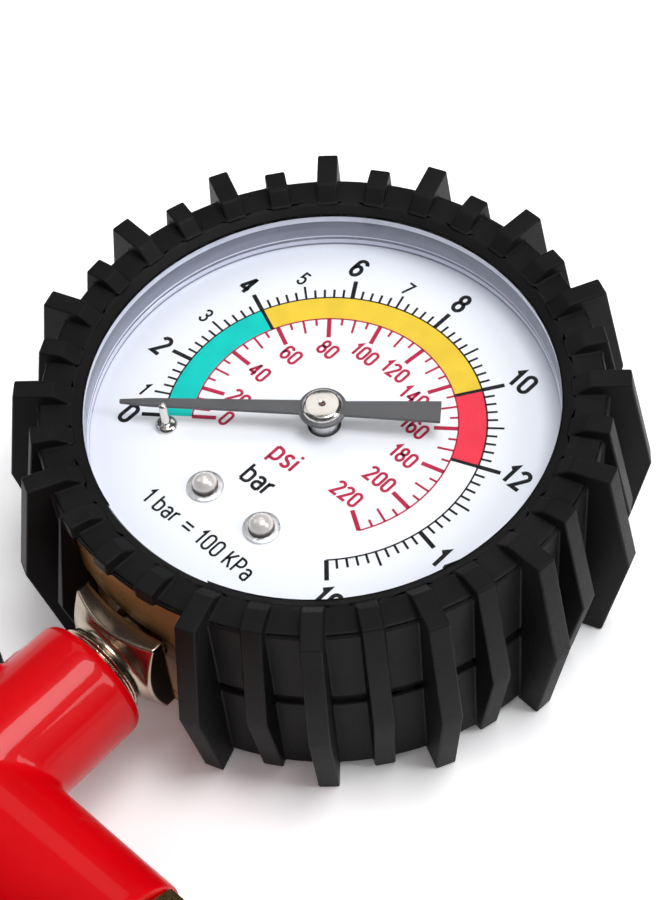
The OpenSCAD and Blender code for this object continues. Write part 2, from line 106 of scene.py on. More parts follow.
def turned(name, profile, centre, material, body="tool", segments=96, smooth=35):
    # a closed profile of (radius, height) in mm turned about the upright axis through centre
    ring = rounded(profile)
    points, faces, rows = [], [], []
    for p in ring:
        if p.x < onAxis:
            rows.append([len(points)] * segments)
            points.append((0, 0, p.y))
        else:
            rows.append(list(range(len(points), len(points) + segments)))
            turns = [2 * pi * k / segments for k in range(segments)]
            points += [(p.x * cos(turn), p.x * sin(turn), p.y) for turn in turns]
    for i in range(len(rows)):
        low, high = rows[i], rows[(i + 1) % len(rows)]
        if low[0] == low[1] and high[0] == high[1]:
            continue
        for k in range(segments):
            n = (k + 1) % segments
            face = [low[k], low[n], high[n], high[k]]
            faces.append([v for j, v in enumerate(face) if v not in face[:j]])
    placed = [Vector(centre) + Vector(p) * mm for p in points]
    return meshPiece(name, placed, faces, material, body, smooth)


def flatGroups(shape):
    # sets of touching faces that lie in one plane
    seen = set()
    for seed in shape.faces:
        if seed in seen:
            continue
        group, todo = {seed}, [seed]
        seen.add(seed)
        while todo:
            for edge in todo.pop().edges:
                for near in edge.link_faces:
                    if near in seen or near.normal.dot(seed.normal) < sameSpot["facing"]:
                        continue
                    step = near.calc_center_median() - seed.calc_center_median()
                    if abs(step.dot(seed.normal)) < sameSpot["level"] * mm:
                        seen.add(near)
                        group.add(near)
                        todo.append(near)
        yield group


def softEdges(part, width, segments=2, angle=32):
    # a copy of a rigid part with its flats made whole and its sharp edges rounded; it stands for the part
    source = nodes[part]
    shape = bmesh.new()
    shape.from_mesh(source.data)
    bmesh.ops.remove_doubles(shape, verts=shape.verts, dist=sameSpot["join"] * mm)
    bmesh.ops.dissolve_degenerate(shape, dist=sameSpot["shrunk"] * mm, edges=shape.edges)
    shape.normal_update()
    inner = set()
    for group in flatGroups(shape):
        edges = {e for f in group for e in f.edges}
        corners = {v for f in group for v in f.verts}
        # a flat with a hole in it stays in pieces
        if len(group) > 1 and len(corners) - len(edges) + len(group) == 1:
            inner |= {e for e in edges
                      if len(e.link_faces) == 2 and all(f in group for f in e.link_faces)}
    shape.edges.index_update()
    inOrder = sorted(inner, key=lambda e: e.index)  # a set has another order on each run, and the mesh follows it
    bmesh.ops.dissolve_edges(shape, edges=inOrder, use_verts=False)
    mesh = bpy.data.meshes.new(part + "Soft")
    shape.to_mesh(mesh)
    shape.free()
    mesh.shade_smooth()
    mesh.materials.append(source.data.materials[0])
    piece = bpy.data.objects.new(part + "_soft", mesh)
    bpy.context.scene.collection.objects.link(piece)
    edge = piece.modifiers.new("edge", "BEVEL")
    edge.width = width * mm
    edge.segments = segments
    edge.limit_method = "ANGLE"
    edge.angle_limit = radians(angle)
    edge.use_clamp_overlap = False
    edge.miter_outer = "MITER_ARC"
    edge.harden_normals = True
    normals = piece.modifiers.new("normals", "WEIGHTED_NORMAL")
    normals.keep_sharp = True
    normals.weight = 60
    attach(piece, bodyOf[part])
    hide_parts(part)
    return piece


def trimToBox(piece, part):
    # the rounded mesh becomes final, and the few corners that stand past the part come back to its box
    graph = bpy.context.evaluated_depsgraph_get()
    mesh = bpy.data.meshes.new_from_object(
        piece.evaluated_get(graph), preserve_all_data_layers=True, depsgraph=graph)
    low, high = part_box(part)
    for vertex in mesh.vertices:
        vertex.co = [min(max(v, a), b) for v, a, b in zip(vertex.co, low, high)]
    piece.modifiers.clear()
    piece.data = mesh


def castEdges(part, grid, rounds):
    # a copy of a cast part remeshed on a fine grid and smoothed, so that its edges and joints are rounded
    source = nodes[part]
    mesh = source.data.copy()
    mesh.name = part + "Cast"
    piece = bpy.data.objects.new(part + "_cast", mesh)
    bpy.context.scene.collection.objects.link(piece)
    remesh = piece.modifiers.new("grid", "REMESH")
    remesh.mode = "VOXEL"
    remesh.voxel_size = grid * mm
    remesh.use_smooth_shade = True
    smooth = piece.modifiers.new("rounding", "SMOOTH")
    smooth.factor = 0.5
    smooth.iterations = rounds
    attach(piece, bodyOf[part])
    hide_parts(part)


def startMaterial(name):
    material = bpy.data.materials.new(name)
    material.use_nodes = True
    tree = material.node_tree
    tree.nodes.clear()
    out = tree.nodes.new("ShaderNodeOutputMaterial")
    shader = tree.nodes.new("ShaderNodeBsdfPrincipled")
    tree.links.new(shader.outputs[0], out.inputs[0])
    place = tree.nodes.new("ShaderNodeTexCoord")
    return material, tree, shader, place.outputs["Object"]


def noiseOf(tree, place, size, detail=3, stretch=None):
    # size is the width of one patch in mm; stretch squeezes the pattern along the axes
    if stretch:
        mapping = tree.nodes.new("ShaderNodeMapping")
        mapping.inputs["Scale"].default_value = stretch
        tree.links.new(place, mapping.inputs["Vector"])
        place = mapping.outputs[0]
    noise = tree.nodes.new("ShaderNodeTexNoise")
    noise.inputs["Scale"].default_value = 1 / (size * mm)
    noise.inputs["Detail"].default_value = detail
    tree.links.new(place, noise.inputs["Vector"])
    return noise.outputs["Fac"]


def spread(tree, value, low, high, fromLow=0.3, fromHigh=0.7):
    ranged = tree.nodes.new("ShaderNodeMapRange")
    ranged.inputs["From Min"].default_value = fromLow
    ranged.inputs["From Max"].default_value = fromHigh
    ranged.inputs["To Min"].default_value = low
    ranged.inputs["To Max"].default_value = high
    tree.links.new(value, ranged.inputs["Value"])
    return ranged.outputs[0]


def blendColours(tree, value, first, second):
    mix = tree.nodes.new("ShaderNodeMix")
    mix.data_type = "RGBA"
    mix.inputs[mixFirst].default_value = (*first, 1)
    mix.inputs[mixSecond].default_value = (*second, 1)
    tree.links.new(value, mix.inputs[0])
    return mix.outputs[mixColour]


def largerOf(tree, first, second):
    larger = tree.nodes.new("ShaderNodeMath")
    larger.operation = "MAXIMUM"
    tree.links.new(first, larger.inputs[0])
    tree.links.new(second, larger.inputs[1])
    return larger.outputs[0]


def addBump(tree, shader, value, depth, strength):
    bump = tree.nodes.new("ShaderNodeBump")
    bump.inputs["Strength"].default_value = strength
    bump.inputs["Distance"].default_value = depth * mm
    tree.links.new(value, bump.inputs["Height"])
    tree.links.new(bump.outputs[0], shader.inputs["Normal"])


def finish(name, look):
    # one finish: two close colours in patches, a roughness that varies, and a fine bump
    material, tree, shader, place = startMaterial(name)
    patches = noiseOf(tree, place, look["patch"], 4)
    colour = blendColours(tree, spread(tree, patches, 0, 1), look["colour"], look["colour2"])
    tree.links.new(colour, shader.inputs["Base Color"])
    grain = noiseOf(tree, place, look["grain"], stretch=look.get("stretch"))
    tree.links.new(spread(tree, grain, *look["roughness"]), shader.inputs["Roughness"])
    addBump(tree, shader, grain, look["depth"], look.get("bump", 0.3))
    shader.inputs["Metallic"].default_value = look.get("metallic", 0)
    shader.inputs["Specular IOR Level"].default_value = look.get("specular", 0.5)
    shader.inputs["Coat Weight"].default_value = look.get("coat", 0)
    shader.inputs["Coat Roughness"].default_value = look.get("coatRoughness", 0.05)
    return material


def dress(material, *names):
    for name in names:
        obj = nodes[name] if isinstance(name, str) else name
        obj.data.materials.clear()
        obj.data.materials.append(material)


# camera
cameraLook = {"place": (130.04, -55.24, 261.85), "turn": (35.714, 3.645, 42.825), "lens": 88.9,
              "nearest": 10}
cameraData = bpy.data.cameras.new("camera")
cameraData.lens = cameraLook["lens"]
cameraData.clip_start = cameraLook["nearest"] * mm
camera = bpy.data.objects.new("camera", cameraData)
camera.location = [v * mm for v in cameraLook["place"]]
camera.rotation_euler = [radians(v) for v in cameraLook["turn"]]
bpy.context.scene.collection.objects.link(camera)
bpy.context.scene.camera = camera

# rubber boot
rubberLook = {"colour": (0.0075, 0.0075, 0.008), "colour2": (0.0125, 0.0125, 0.013), "patch": 9,
              "grain": 0.22, "roughness": (0.38, 0.55), "depth": 0.03, "bump": 0.25, "specular": 0.07}
rubber = finish("rubberBoot", rubberLook)
dress(rubber, "boot")
trimToBox(softEdges("boot", width=0.28, segments=3), "boot")
print("boot dressed")

# steel case inside the boot
caseLook = {"colour": (0.55, 0.31, 0.11), "colour2": (0.36, 0.19, 0.07), "patch": 26, "grain": 3,
            "roughness": (0.24, 0.38), "depth": 0.01, "bump": 0.02, "metallic": 0.4, "specular": 0.3}
dress(finish("caseLacquer", caseLook), "gauge_case")
softEdges("gauge_case", width=0.3)

# dial plate: white lacquer, with a painted bluish reflection of the lens ring towards the rim
dialLook = {"middle": (0.95, 0.955, 0.96), "rim": (0.83, 0.87, 0.96), "rimStart": 21, "rimEnd": 34,
            "grain": 0.4, "roughness": (0.32, 0.4), "depth": 0.003, "bump": 0.08}


def dialFinish(look):
    material, tree, shader, place = startMaterial("dialLacquer")
    shift = tree.nodes.new("ShaderNodeVectorMath")
    shift.operation = "DISTANCE"
    shift.inputs[1].default_value = dialCentre
    tree.links.new(place, shift.inputs[0])
    # painted reflection: the share of the bluish rim colour grows with the distance from the dial centre
    paintedBlueShare = spread(tree, shift.outputs["Value"], 0, 1, look["rimStart"] * mm, look["rimEnd"] * mm)
    tree.links.new(blendColours(tree, paintedBlueShare, look["middle"], look["rim"]), shader.inputs["Base Color"])
    grain = noiseOf(tree, place, look["grain"], 2)
    tree.links.new(spread(tree, grain, *look["roughness"]), shader.inputs["Roughness"])
    addBump(tree, shader, grain, look["depth"], look["bump"])
    return material


dress(dialFinish(dialLook), "dial")
softEdges("dial", width=0.05)
print("dial plate dressed")

# printed scale
scaleLook = {
    "band": (17.74, 21.5),  # inner and outer radius of the coloured band
    "turn": -1.08,  # turn of the print against the fitting, degrees
    "start": -135.0, "perBar": -16.894,  # angle of 0 bar on the even scale, and of each bar after it
    "zero": 0.44,  # the scale's own 0 mark stands this far up the even scale
    "barPerPsi": 0.06905,
    "line": 0.22, "thin": 0.32, "thick": 0.6,
    "minorEnd": 22.9, "middleEnd": 23.75, "thickEnd": 24.55,
    "psiMinor": 16.6, "psiMiddle": 15.5, "psiThick": 14.5,
    "bandInk": (0.004, 0.018), "lineInk": (0.012, 0.03),  # underside and top of each ink over the dial
    "divider": 0.8,  # the lines across the band, against a thick tick
    "clearOfZero": 3,  # degrees past the zero mark that stay free of small ticks
}
inkColours = {"inkBlack": (0.012, 0.012, 0.014), "inkCrimson": (0.55, 0.02, 0.07),
              "bandTeal": (0.0, 0.64, 0.56), "bandYellow": (0.95, 0.65, 0.05), "bandRed": (0.97, 0.05, 0.085)}
inkLook = {"patch": 3, "grain": 0.25, "roughness": (0.4, 0.5), "depth": 0.002, "bump": 0.1, "specular": 0.08,
           "darker": 0.86}
inks = {}
for inkName, inkColour in inkColours.items():
    darker = tuple(v * inkLook["darker"] for v in inkColour)
    inks[inkName] = finish(inkName, dict(inkLook, colour=inkColour, colour2=darker))


def onDial(x, y, z=0):
    # a point of the print, in mm about the dial centre with the print's own up, in the frame
    a = radians(scaleLook["turn"])
    return dialCentre + Vector((x * cos(a) - y * sin(a), x * sin(a) + y * cos(a), z)) * mm


def barAngle(bar):
    return scaleLook["start"] + scaleLook["perBar"] * bar


def psiAngle(psi):
    return barAngle(psi * scaleLook["barPerPsi"])


class Print:
    # gathers flat strokes into one thin mesh
    def __init__(self, layer):
        self.points, self.faces = [], []
        self.low, self.high = layer

    def patch(self, left, right, closed=False):
        # a strip between two lines of points, given a small thickness
        n, base = len(left), len(self.points)
        for l, r in zip(left, right):
            self.points += [onDial(*l, self.high), onDial(*r, self.high),
                            onDial(*l, self.low), onDial(*r, self.low)]
        last = n if closed else n - 1
        for i in range(last):
            a, b = base + 4 * i, base + 4 * ((i + 1) % n)
            self.faces += [(a, a + 1, b + 1, b), (a + 2, b + 2, b + 3, a + 3),
                           (a, b, b + 2, a + 2), (a + 1, a + 3, b + 3, b + 1)]
        if not closed:
            e = base + 4 * (n - 1)
            self.faces += [(base, base + 2, base + 3, base + 1), (e, e + 1, e + 3, e + 2)]

    def stroke(self, line, width, closed=False):
        # a line of one width with mitred corners
        pts = [Vector(p) for i, p in enumerate(line)
               if not i or (Vector(p) - Vector(line[i - 1])).length > shortestStep]
        n, left, right = len(pts), [], []
        for i, p in enumerate(pts):
            before = pts[i - 1] if (i or closed) else None
            after = pts[(i + 1) % n] if (i < n - 1 or closed) else None
            d1 = (p - before).normalized() if before is not None else None
            d2 = (after - p).normalized() if after is not None else None
            d1, d2 = d1 or d2, d2 or d1
            side = Vector((-(d1 + d2).y, (d1 + d2).x)).normalized()
            reach = width / 2 / max(mitreLimit, side.dot(Vector((-d1.y, d1.x))))
            left.append(p + side * reach)
            right.append(p - side * reach)
        self.patch(left, right, closed)

    def arc(self, r0, r1, a0, a1, step=2.0):
        n = max(2, int(abs(a1 - a0) / step))
        angles = [radians(a0 + (a1 - a0) * k / n) for k in range(n + 1)]
        self.patch([(r1 * cos(a), r1 * sin(a)) for a in angles],
                   [(r0 * cos(a), r0 * sin(a)) for a in angles])

    def tick(self, r0, r1, angle, width):
        a = radians(angle)
        self.stroke([(r0 * cos(a), r0 * sin(a)), (r1 * cos(a), r1 * sin(a))], width)

    def make(self, name, material):
        piece = meshPiece(name, self.points, self.faces, material, "tool")
        return piece


def printScale(s):
    inner, outer = s["band"]
    for name, start, end in (("bandTeal", s["zero"], 4), ("bandYellow", 4, 10), ("bandRed", 10, 12)):
        band = Print(s["bandInk"])
        band.arc(inner, outer, barAngle(start), barAngle(end))
        band.make(name, inks[name])
    black = Print(s["lineInk"])
    black.arc(outer - s["line"] / 2, outer + s["line"] / 2, barAngle(s["zero"]), barAngle(16))
    for k in range(5, 81):
        bar = k / 5
        if k % 10 == 0:
            black.tick(outer, s["thickEnd"], barAngle(bar), s["thick"])
        elif k % 5 == 0:
            black.tick(outer, s["middleEnd"], barAngle(bar), s["thin"])
        else:
            black.tick(outer, s["minorEnd"], barAngle(bar), s["thin"])
    black.tick(outer, s["thickEnd"], barAngle(s["zero"]), s["thick"])
    for bar in (4, 10, 12):
        black.tick(inner, outer, barAngle(bar), s["thick"] * s["divider"])
    black.make("scaleBlack", inks["inkBlack"])
    crimson = Print(s["lineInk"])
    crimson.arc(inner - s["line"] / 2, inner + s["line"] / 2, barAngle(s["zero"]), psiAngle(220))
    for k in range(1, 45):
        psi = k * 5
        end = s["psiThick"] if k % 4 == 0 else s["psiMiddle"] if k % 2 == 0 else s["psiMinor"]
        if psiAngle(psi) < barAngle(s["zero"]) - s["clearOfZero"]:
            crimson.tick(end, inner, psiAngle(psi), s["thick"] if k % 4 == 0 else s["thin"])
    crimson.tick(s["psiThick"], inner, barAngle(s["zero"]), s["thick"])
    crimson.make("scaleCrimson", inks["inkCrimson"])


printScale(scaleLook)
print("scale printed")


# numerals and words in narrow characters of even stroke
def bow(cx, cy, rx, ry, a0, a1, n=9):
    angles = [radians(a0 + (a1 - a0) * k / n) for k in range(n + 1)]
    return [(cx + rx * cos(a), cy + ry * sin(a)) for a in angles]


# each character: its width, then its strokes in a box one unit high; a stroke ending in None is a closed loop
def characterShapes():
    w = 0.44
    r = w / 2
    loop = bow(r, 1 - r, r, r, 0, 180) + bow(r, r, r, r, 180, 360) + [None]
    six = bow(r, 0.3, r, 0.3, 180, 540, 18)[:-1] + [None]
    bowl = bow(r * 0.95, 0.7 - r, r, r, 90, 0, 6) + bow(r * 0.95, r, r, r, 0, -90, 6)
    return {
        "0": (w, [loop]),
        "1": (0.3, [[(0.03, 0.76), (0.22, 0.97), (0.22, 0)]]),
        "2": (w, [bow(r, 1 - r, r, r, 172, -22) + [(0.0, 0.0), (w, 0.0)]]),
        "3": (w, [bow(r, 1 - 0.24, r, 0.24, 165, -80) + bow(r, 0.27, r, 0.27, 82, -165)]),
        "4": (0.5, [[(0.37, 1.0), (0.03, 0.25)], [(-0.02, 0.27), (0.5, 0.27)], [(0.37, 1.03), (0.37, 0.0)]]),
        "5": (w, [[(w * 0.95, 1.0), (0.05, 1.0), (0.03, 0.54)] + bow(r, 0.31, r, 0.31, 118, -160)]),
        "6": (w, [six, bow(r, 1 - r, r, r, 15, 180) + [(0, 0.3)]]),
        "7": (w, [[(0.0, 1.0), (w, 1.0), (w * 0.3, 0.0)]]),
        "8": (w, [bow(r, 0.76, r * 0.88, 0.24, 0, 360, 16)[:-1] + [None],
                  bow(r, 0.27, r, 0.27, 0, 360, 16)[:-1] + [None]]),
        "p": (w, [[(0, -0.27), (0, 0.7)], [(0, 0.7)] + bowl + [(0, 0)]]),
        "b": (w, [[(0, 0), (0, 1.0)], [(0, 0.7)] + bowl + [(0, 0)]]),
        "s": (0.38, [bow(0.19, 0.53, 0.18, 0.17, 30, 250, 8) + bow(0.19, 0.17, 0.19, 0.17, 70, -150, 8)]),
        "i": (0.0, [[(0, 0), (0, 0.7)], [(0, 0.88), (0, 1.02)]]),
        "a": (0.4, [bow(0.19, 0.51, 0.2, 0.19, 160, 0, 7) + [(0.39, 0)],
                    [(0.39, 0.4)] + bow(0.17, 0.2, 0.17, 0.2, 90, 270, 8) + [(0.39, 0.0)]]),
        "r": (0.26, [[(0, 0), (0, 0.7)], bow(0.2, 0.46, 0.2, 0.24, 180, 75, 6)]),
        "=": (0.62, [[(0, 0.3), (0.62, 0.3)], [(0, 0.62), (0.62, 0.62)]]),
        "K": (0.46, [[(0, 0), (0, 1)], [(0.45, 1), (0.02, 0.4)], [(0.14, 0.57), (0.47, 0)]]),
        "P": (0.44, [[(0, 0), (0, 1), (0.2, 1)] + bow(0.2, 0.73, 0.24, 0.27, 90, -90, 8) + [(0, 0.46)]]),
        " ": (0.09, []),
    }


shapes = characterShapes()


def writeOn(sheet, text, x, y, tall, weight, gap=0.24):
    # text centred on (x, y), tall in mm over the whole letter, weight the stroke in mm
    size = tall - weight
    total = sum(shapes[c][0] for c in text) + gap * (len(text) - 1)
    pen = x - total * size / 2
    for c in text:
        width, strokes = shapes[c]
        for line in strokes:
            closed = line[-1] is None
            corners = line[:-1] if closed else line
            sheet.stroke([(pen + px * size, y - size / 2 + py * size) for px, py in corners], weight, closed)
        pen += (width + gap) * size


numberLook = {
    "boldTall": 3.45, "bold": 0.56, "boldGap": 0.3, "smallTall": 2.4, "small": 0.33, "smallAt": 25.2,
    "psiTall": 2.55, "psi": 0.4,
    "boldAt": {0: 26.3, 2: 26.3, 4: 26.6, 6: 26.95, 8: 27.0, 10: 27.0, 12: 26.7, 14: 27.3, 16: 27.4},
    "psiAt": {0: 13.1, 20: 12.3, 40: 12.6, 60: 12.5, 80: 12.4, 100: 12.6, 120: 12.6, 140: 12.5,
              160: 11.9, 180: 11.8, 200: 11.8, 220: 11.8},
}
wordLook = {"units": 3.25, "unitWeight": 0.45, "psiPlace": (0, -7.2), "barPlace": (0, -12.15),
            "ruleTall": 2.62, "ruleWeight": 0.32, "rulePlace": (0, -23.3)}


def printNumbers(n, w):
    black = Print(scaleLook["lineInk"])
    for bar in range(0, 17, 2):
        a = radians(barAngle(max(bar, scaleLook["zero"])))
        reach = n["boldAt"][bar]
        writeOn(black, str(bar), reach * cos(a), reach * sin(a), n["boldTall"], n["bold"], n["boldGap"])
    for bar in (1, 3, 5, 7):
        a = radians(barAngle(bar))
        reach = n["smallAt"]
        writeOn(black, str(bar), reach * cos(a), reach * sin(a), n["smallTall"], n["small"])
    writeOn(black, "bar", *w["barPlace"], w["units"], w["unitWeight"])
    writeOn(black, "1 bar = 100 KPa", *w["rulePlace"], w["ruleTall"], w["ruleWeight"])
    black.make("numbersBlack", inks["inkBlack"])
    crimson = Print(scaleLook["lineInk"])
    for psi in range(0, 221, 20):
        a = radians(psiAngle(psi) if psi else barAngle(scaleLook["zero"]))
        reach = n["psiAt"][psi]
        writeOn(crimson, str(psi), reach * cos(a), reach * sin(a), n["psiTall"], n["psi"])
    writeOn(crimson, "psi", *w["psiPlace"], w["units"], w["unitWeight"])
    crimson.make("numbersCrimson", inks["inkCrimson"])


printNumbers(numberLook, wordLook)
print("numbers printed")

# pointer, its cap, the stop pin and the dial screws
pointerLook = {"colour": (0.07, 0.072, 0.075), "colour2": (0.085, 0.085, 0.088), "patch": 4, "grain": 0.3,
               "roughness": (0.35, 0.45), "depth": 0.003, "bump": 0.1}
dress(finish("pointerPaint", pointerLook), "pointer")
softEdges("pointer", width=0.08)
steelLook = {"colour": (0.83, 0.81, 0.78), "colour2": (0.74, 0.72, 0.69), "patch": 2.5, "grain": 0.35,
             "roughness": (0.07, 0.16), "depth": 0.004, "bump": 0.12, "metallic": 1}
steel = finish("polishedSteel", steelLook)
dress(steel, "hub_cap", "stop_pin")
# the dished rivet end in the cap's middle has a finish of its own
capLook = {"profile": [(0, 4.3), (0.14, 4.3, 0.03), (0.24, 4.2, 0.05), (0.36, 4.36, 0.04), (0.5, 4.4, 0.05),
                       (1.6, 4.39, 0.5), (2.25, 4.33, 0.5), (2.62, 4.1, 0.3), (2.75, 3.75, 0.1),
                       (2.75, 3.62, 0.03), (0.9, 3.62, 0), (0.9, 3.9, 0), (0, 3.9, 0)],
           "dish": 0.42, "dishAbove": 4}  # the radius of the rivet's dish, and the height that it lies above
hubCap = turned("hubCap", capLook["profile"], dialCentre, steel, "pointer", smooth=50)
rivetLook = {"colour": (0.2, 0.13, 0.1), "colour2": (0.13, 0.085, 0.07), "patch": 0.5, "grain": 0.2,
             "roughness": (0.3, 0.45), "depth": 0.004, "bump": 0.2, "metallic": 0.8}
hubCap.data.materials.append(finish("rivetBrown", rivetLook))
for face in hubCap.data.polygons:
    middle = face.center - dialCentre
    if middle.z > capLook["dishAbove"] * mm and hypot(middle.x, middle.y) < capLook["dish"] * mm:
        face.material_index = 1
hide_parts("hub_cap")
softEdges("stop_pin", width=0.06)
# domed screw heads: a bright steel crown over a painted shadow and dark reflection at the foot, where the head
# meets the washer
screwLook = {"crown": (0.9, 0.84, 0.78), "foot": (0.09, 0.075, 0.065), "paintedShadeTop": 0.95, "paintedShadeFadeTop": 1.3,
             "grain": 0.5, "roughness": (0.16, 0.26), "depth": 0.004, "bump": 0.12, "metallic": 0.45}


def screwFinish(look):
    material, tree, shader, place = startMaterial("screwSteel")
    parts = tree.nodes.new("ShaderNodeSeparateXYZ")
    tree.links.new(place, parts.inputs[0])
    # painted shade: the head is dark at its foot and fades to bright steel a little higher up
    height = spread(tree, parts.outputs["Z"], 0, 1, dialCentre.z + look["paintedShadeTop"] * mm,
                    dialCentre.z + look["paintedShadeFadeTop"] * mm)
    tree.links.new(blendColours(tree, height, look["foot"], look["crown"]), shader.inputs["Base Color"])
    grain = noiseOf(tree, place, look["grain"])
    tree.links.new(spread(tree, grain, *look["roughness"]), shader.inputs["Roughness"])
    addBump(tree, shader, grain, look["depth"], look["bump"])
    shader.inputs["Metallic"].default_value = look["metallic"]
    return material


dress(screwFinish(screwLook), "dial_screw_1", "dial_screw_2")
zincLook = {"colour": (0.82, 0.83, 0.84), "colour2": (0.7, 0.71, 0.73), "patch": 2, "grain": 0.4,
            "roughness": (0.25, 0.4), "depth": 0.004, "bump": 0.15, "metallic": 0.9}
dress(finish("zincPlate", zincLook), "dial_washer_1", "dial_washer_2", "pinion_arbor", "pivot_pin",
      "valve_stem", "valve_spring")
for name in ("dial_washer_1", "dial_washer_2"):
    softEdges(name, width=0.08)
for name in ("pivot_pin", "valve_stem"):
    softEdges(name, width=0.15)

# the valve spring, which shortens as the valve opens towards it, stands here as a plain copy with a mesh of its
# own
spring = bpy.data.objects.new("valve_spring_coil", nodes["valve_spring"].data.copy())
bpy.context.scene.collection.objects.link(spring)
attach(spring, "tool")
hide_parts("valve_spring")
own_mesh(spring)

# movement behind the dial
brassLook = {"colour": (0.78, 0.56, 0.26), "colour2": (0.66, 0.45, 0.19), "patch": 3, "grain": 0.5,
             "roughness": (0.22, 0.36), "depth": 0.006, "bump": 0.2, "metallic": 1, "stretch": (1, 6, 1)}
dress(finish("rolledBrass", brassLook), "front_plate", "back_plate", "pillar_1", "pillar_2", "sector",
      "sector_arbor", "bourdon_tube", "tube_tip", "hairspring")
for name in ("front_plate", "back_plate", "sector", "tube_tip", "bourdon_tube"):
    softEdges(name, width=0.08)
print("movement dressed")

# lens: a clear disc in a moulded ring
lensLook = {"top": 5.9, "thick": 1.2, "window": 31.3, "edge": 34.55, "gap": 0.06, "wall": 1.5,
            "fillet": 0.1, "rimFillet": 0.35, "colour": (0.985, 0.99, 1.0), "tint": (0.98, 0.985, 1.0),
            "bend": 1.003,  # a thin flat disc hardly bends what is behind it
            "grain": 2.5, "roughness": 0.02, "gloss": 0.1, "glossRoughness": 0.02}
# the ring's inner side, from the shoulder down: a clear wall given a painted reflection, with a painted highlight
# on the edge and on two beads at its foot, and a darker band crossed by a painted highlight line at the foot
ringLook = {"paintedHighlight": (0.78, 0.8, 0.92), "paintedWallDark": (0.14, 0.15, 0.2), "paintedWallPale": (0.32, 0.34, 0.42),
            "beads": [(1.62, 0.12), (0.85, 0.14)], "foot": (0.1, 0.35), "groove": (0.2, 0.205, 0.27),
            "through": (0.8, 0.82, 0.86), "paintedShadeFade": (1.6, 4.6), "fadeShare": 0.75, "streak": 9,
            "streakShare": 0.35, "roughness": (0.1, 0.25), "depth": 0.01, "bump": 0.15,
            "shine": 0.05, "footLine": (0.6, 0.1), "footLineLow": 0.1}
paintedHighlightLook = {"colour": ringLook["paintedHighlight"], "colour2": tuple(v * 0.92 for v in ringLook["paintedHighlight"]), "patch": 8,
            "grain": 1.2, "roughness": (0.1, 0.2), "depth": 0.004, "bump": 0.1}
grooveLook = {"colour": ringLook["groove"], "colour2": tuple(v * 1.3 for v in ringLook["groove"]), "patch": 6,
              "grain": 1, "roughness": (0.2, 0.3), "depth": 0.004, "bump": 0.1}


def letLightThrough(tree, shader, tint):
    # lamp light and scattered light pass, tinted, so that the lens doesn't darken the dial
    out = next(n for n in tree.nodes if n.type == "OUTPUT_MATERIAL")
    clear = tree.nodes.new("ShaderNodeBsdfTransparent")
    clear.inputs[0].default_value = (*tint, 1)
    rays = tree.nodes.new("ShaderNodeLightPath")
    passing = largerOf(tree, rays.outputs["Is Shadow Ray"], rays.outputs["Is Diffuse Ray"])
    mix = tree.nodes.new("ShaderNodeMixShader")
    tree.links.new(passing, mix.inputs[0])
    tree.links.new(shader.outputs[0], mix.inputs[1])
    tree.links.new(clear.outputs[0], mix.inputs[2])
    tree.links.new(mix.outputs[0], out.inputs[0])


def lensFinish(look):
    material, tree, shader, place = startMaterial("lensPlastic")
    shader.inputs["Base Color"].default_value = (*look["colour"], 1)
    shader.inputs["Transmission Weight"].default_value = 1
    shader.inputs["IOR"].default_value = look["bend"]
    shader.inputs["Coat Weight"].default_value = look["gloss"]
    shader.inputs["Coat Roughness"].default_value = look["glossRoughness"]
    grain = noiseOf(tree, place, look["grain"], 2)
    tree.links.new(spread(tree, grain, 0, look["roughness"]), shader.inputs["Roughness"])
    letLightThrough(tree, shader, look["tint"])
    return material


def smokyFinish(look):
    # painted reflection of the clear wall: painted shade darker under the shoulder, paler towards the foot, with
    # faint painted streaks round the wall
    material, tree, shader, place = startMaterial("lensWall")
    parts = tree.nodes.new("ShaderNodeSeparateXYZ")
    tree.links.new(place, parts.inputs[0])
    low, high = look["paintedShadeFade"]
    height = spread(tree, parts.outputs["Z"], 1, 0, dialCentre.z + low * mm, dialCentre.z + high * mm)
    streak = noiseOf(tree, place, look["streak"], stretch=(1, 1, 8))
    mixed = tree.nodes.new("ShaderNodeMath")
    mixed.operation = "MULTIPLY_ADD"
    mixed.inputs[1].default_value = look["fadeShare"]
    tree.links.new(height, mixed.inputs[0])
    tree.links.new(spread(tree, streak, 0, look["streakShare"]), mixed.inputs[2])
    colour = blendColours(tree, mixed.outputs[0], look["paintedWallDark"], look["paintedWallPale"])
    tree.links.new(colour, shader.inputs["Base Color"])
    tree.links.new(spread(tree, streak, *look["roughness"]), shader.inputs["Roughness"])
    addBump(tree, shader, streak, look["depth"], look["bump"])
    letLightThrough(tree, shader, look["through"])
    return material


